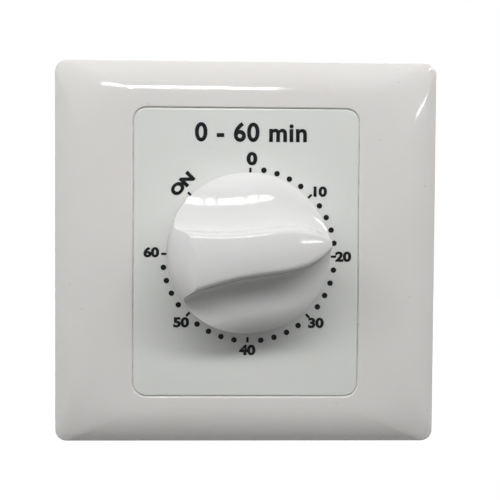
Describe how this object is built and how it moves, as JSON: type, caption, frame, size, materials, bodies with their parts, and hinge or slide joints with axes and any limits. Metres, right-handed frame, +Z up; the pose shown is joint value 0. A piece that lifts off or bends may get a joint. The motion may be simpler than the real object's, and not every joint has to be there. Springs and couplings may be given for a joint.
{
  "type": "countdown timer switch",
  "caption": "Square wall plate timer switch: clip-on curved frame, inset dial panel and a pointer knob that winds a clockwork and closes a contact behind it.",
  "frame": {"origin": "middle of the plate in the wall plane, midway between the two wall-box screws", "axes": "+X to the right seen from the front, +Y into the wall, +Z up"},
  "size_m": [0.086, 0.0584, 0.086],
  "materials": {
    "frame_white": "moulded gloss, polished mould",
    "panel_white": "moulded satin gloss",
    "knob_white": "moulded gloss, polished mould",
    "bracket_grey": "moulded, fine matt",
    "plate_steel": "zinc plated sheet",
    "screw_steel": "zinc plated, turned",
    "shaft_steel": "turned, bright",
    "spring_steel": "hardened strip, dark",
    "wheel_brass": "stamped and lapped",
    "turned_brass": "turned",
    "deck_phenolic": "pressed phenolic, dull",
    "cover_board": "stamped laminate sheet",
    "cam_nylon": "moulded, natural",
    "blade_bronze": "rolled bronze strip",
    "contact_silver": "coined silver",
    "terminal_brass": "stamped"
  },
  "bodies": {
    "housing": {"outer_frame": "frame_white", "faceplate": "panel_white", "mounting_bracket": "bracket_grey", "front_plate": "plate_steel", "rear_plate": "plate_steel", "plate_pillars": "turned_brass", "pillar_screws": "screw_steel", "movement_screws": "screw_steel", "front_bush": "turned_brass", "rear_bush": "turned_brass", "mainspring": "spring_steel", "spring_stud": "shaft_steel", "switch_base": "deck_phenolic", "switch_cover": "cover_board", "cover_screws": "screw_steel", "moving_blade": "blade_bronze", "fixed_blade": "blade_bronze", "contact_rivets": "contact_silver", "terminal_plates": "terminal_brass", "terminal_screws": "screw_steel", "terminal_clamps": "plate_steel"},
    "drive": {"knob": "knob_white", "knob_spring_clip": "spring_steel", "main_shaft": "shaft_steel", "shaft_circlip": "spring_steel", "friction_washer": "spring_steel", "great_wheel": "wheel_brass", "ratchet_wheel": "shaft_steel", "click": "shaft_steel", "click_spring": "spring_steel", "cam": "cam_nylon"},
    "second": {"second_arbor": "shaft_steel", "second_wheel": "wheel_brass"},
    "third": {"third_arbor": "shaft_steel", "third_wheel": "wheel_brass"},
    "escape": {"escape_arbor": "shaft_steel", "escape_wheel": "wheel_brass"},
    "anchor": {"pallet_arbor": "shaft_steel", "pallet_anchor": "shaft_steel", "inertia_bar": "turned_brass"}
  },
  "joints": [
    {"name": "knob_turn", "type": "hinge", "parent": "housing", "child": "drive", "pos_m": [0.00019, 0, 0.00017], "axis": [0, -1, 0], "range_deg": [-187.47, 127.53], "deforming": ["mainspring", "moving_blade"]},
    {"name": "second_spin", "type": "hinge", "parent": "housing", "child": "second", "pos_m": [-0.01183, 0, 0.01219], "axis": [0, -1, 0], "range_deg": [-956.5, 1406.1]},
    {"name": "third_spin", "type": "hinge", "parent": "housing", "child": "third", "pos_m": [-0.00001, 0, 0.0171], "axis": [0, -1, 0], "range_deg": [-9842.2, 6695.4]},
    {"name": "escape_spin", "type": "hinge", "parent": "housing", "child": "escape", "pos_m": [0.01089, 0, 0.01451], "axis": [0, -1, 0], "range_deg": [-46867.6, 68895.1]},
    {"name": "anchor_rock", "type": "hinge", "parent": "housing", "child": "anchor", "pos_m": [0.01738, 0, 0.0109], "axis": [0, -1, 0], "range_deg": [-6, 6]}
  ],
  "couplings": [
    {"joint": "second_spin", "follows": "knob_turn", "ratio": -7.5},
    {"joint": "third_spin", "follows": "knob_turn", "ratio": 52.5},
    {"joint": "escape_spin", "follows": "knob_turn", "ratio": -367.5}
  ]
}
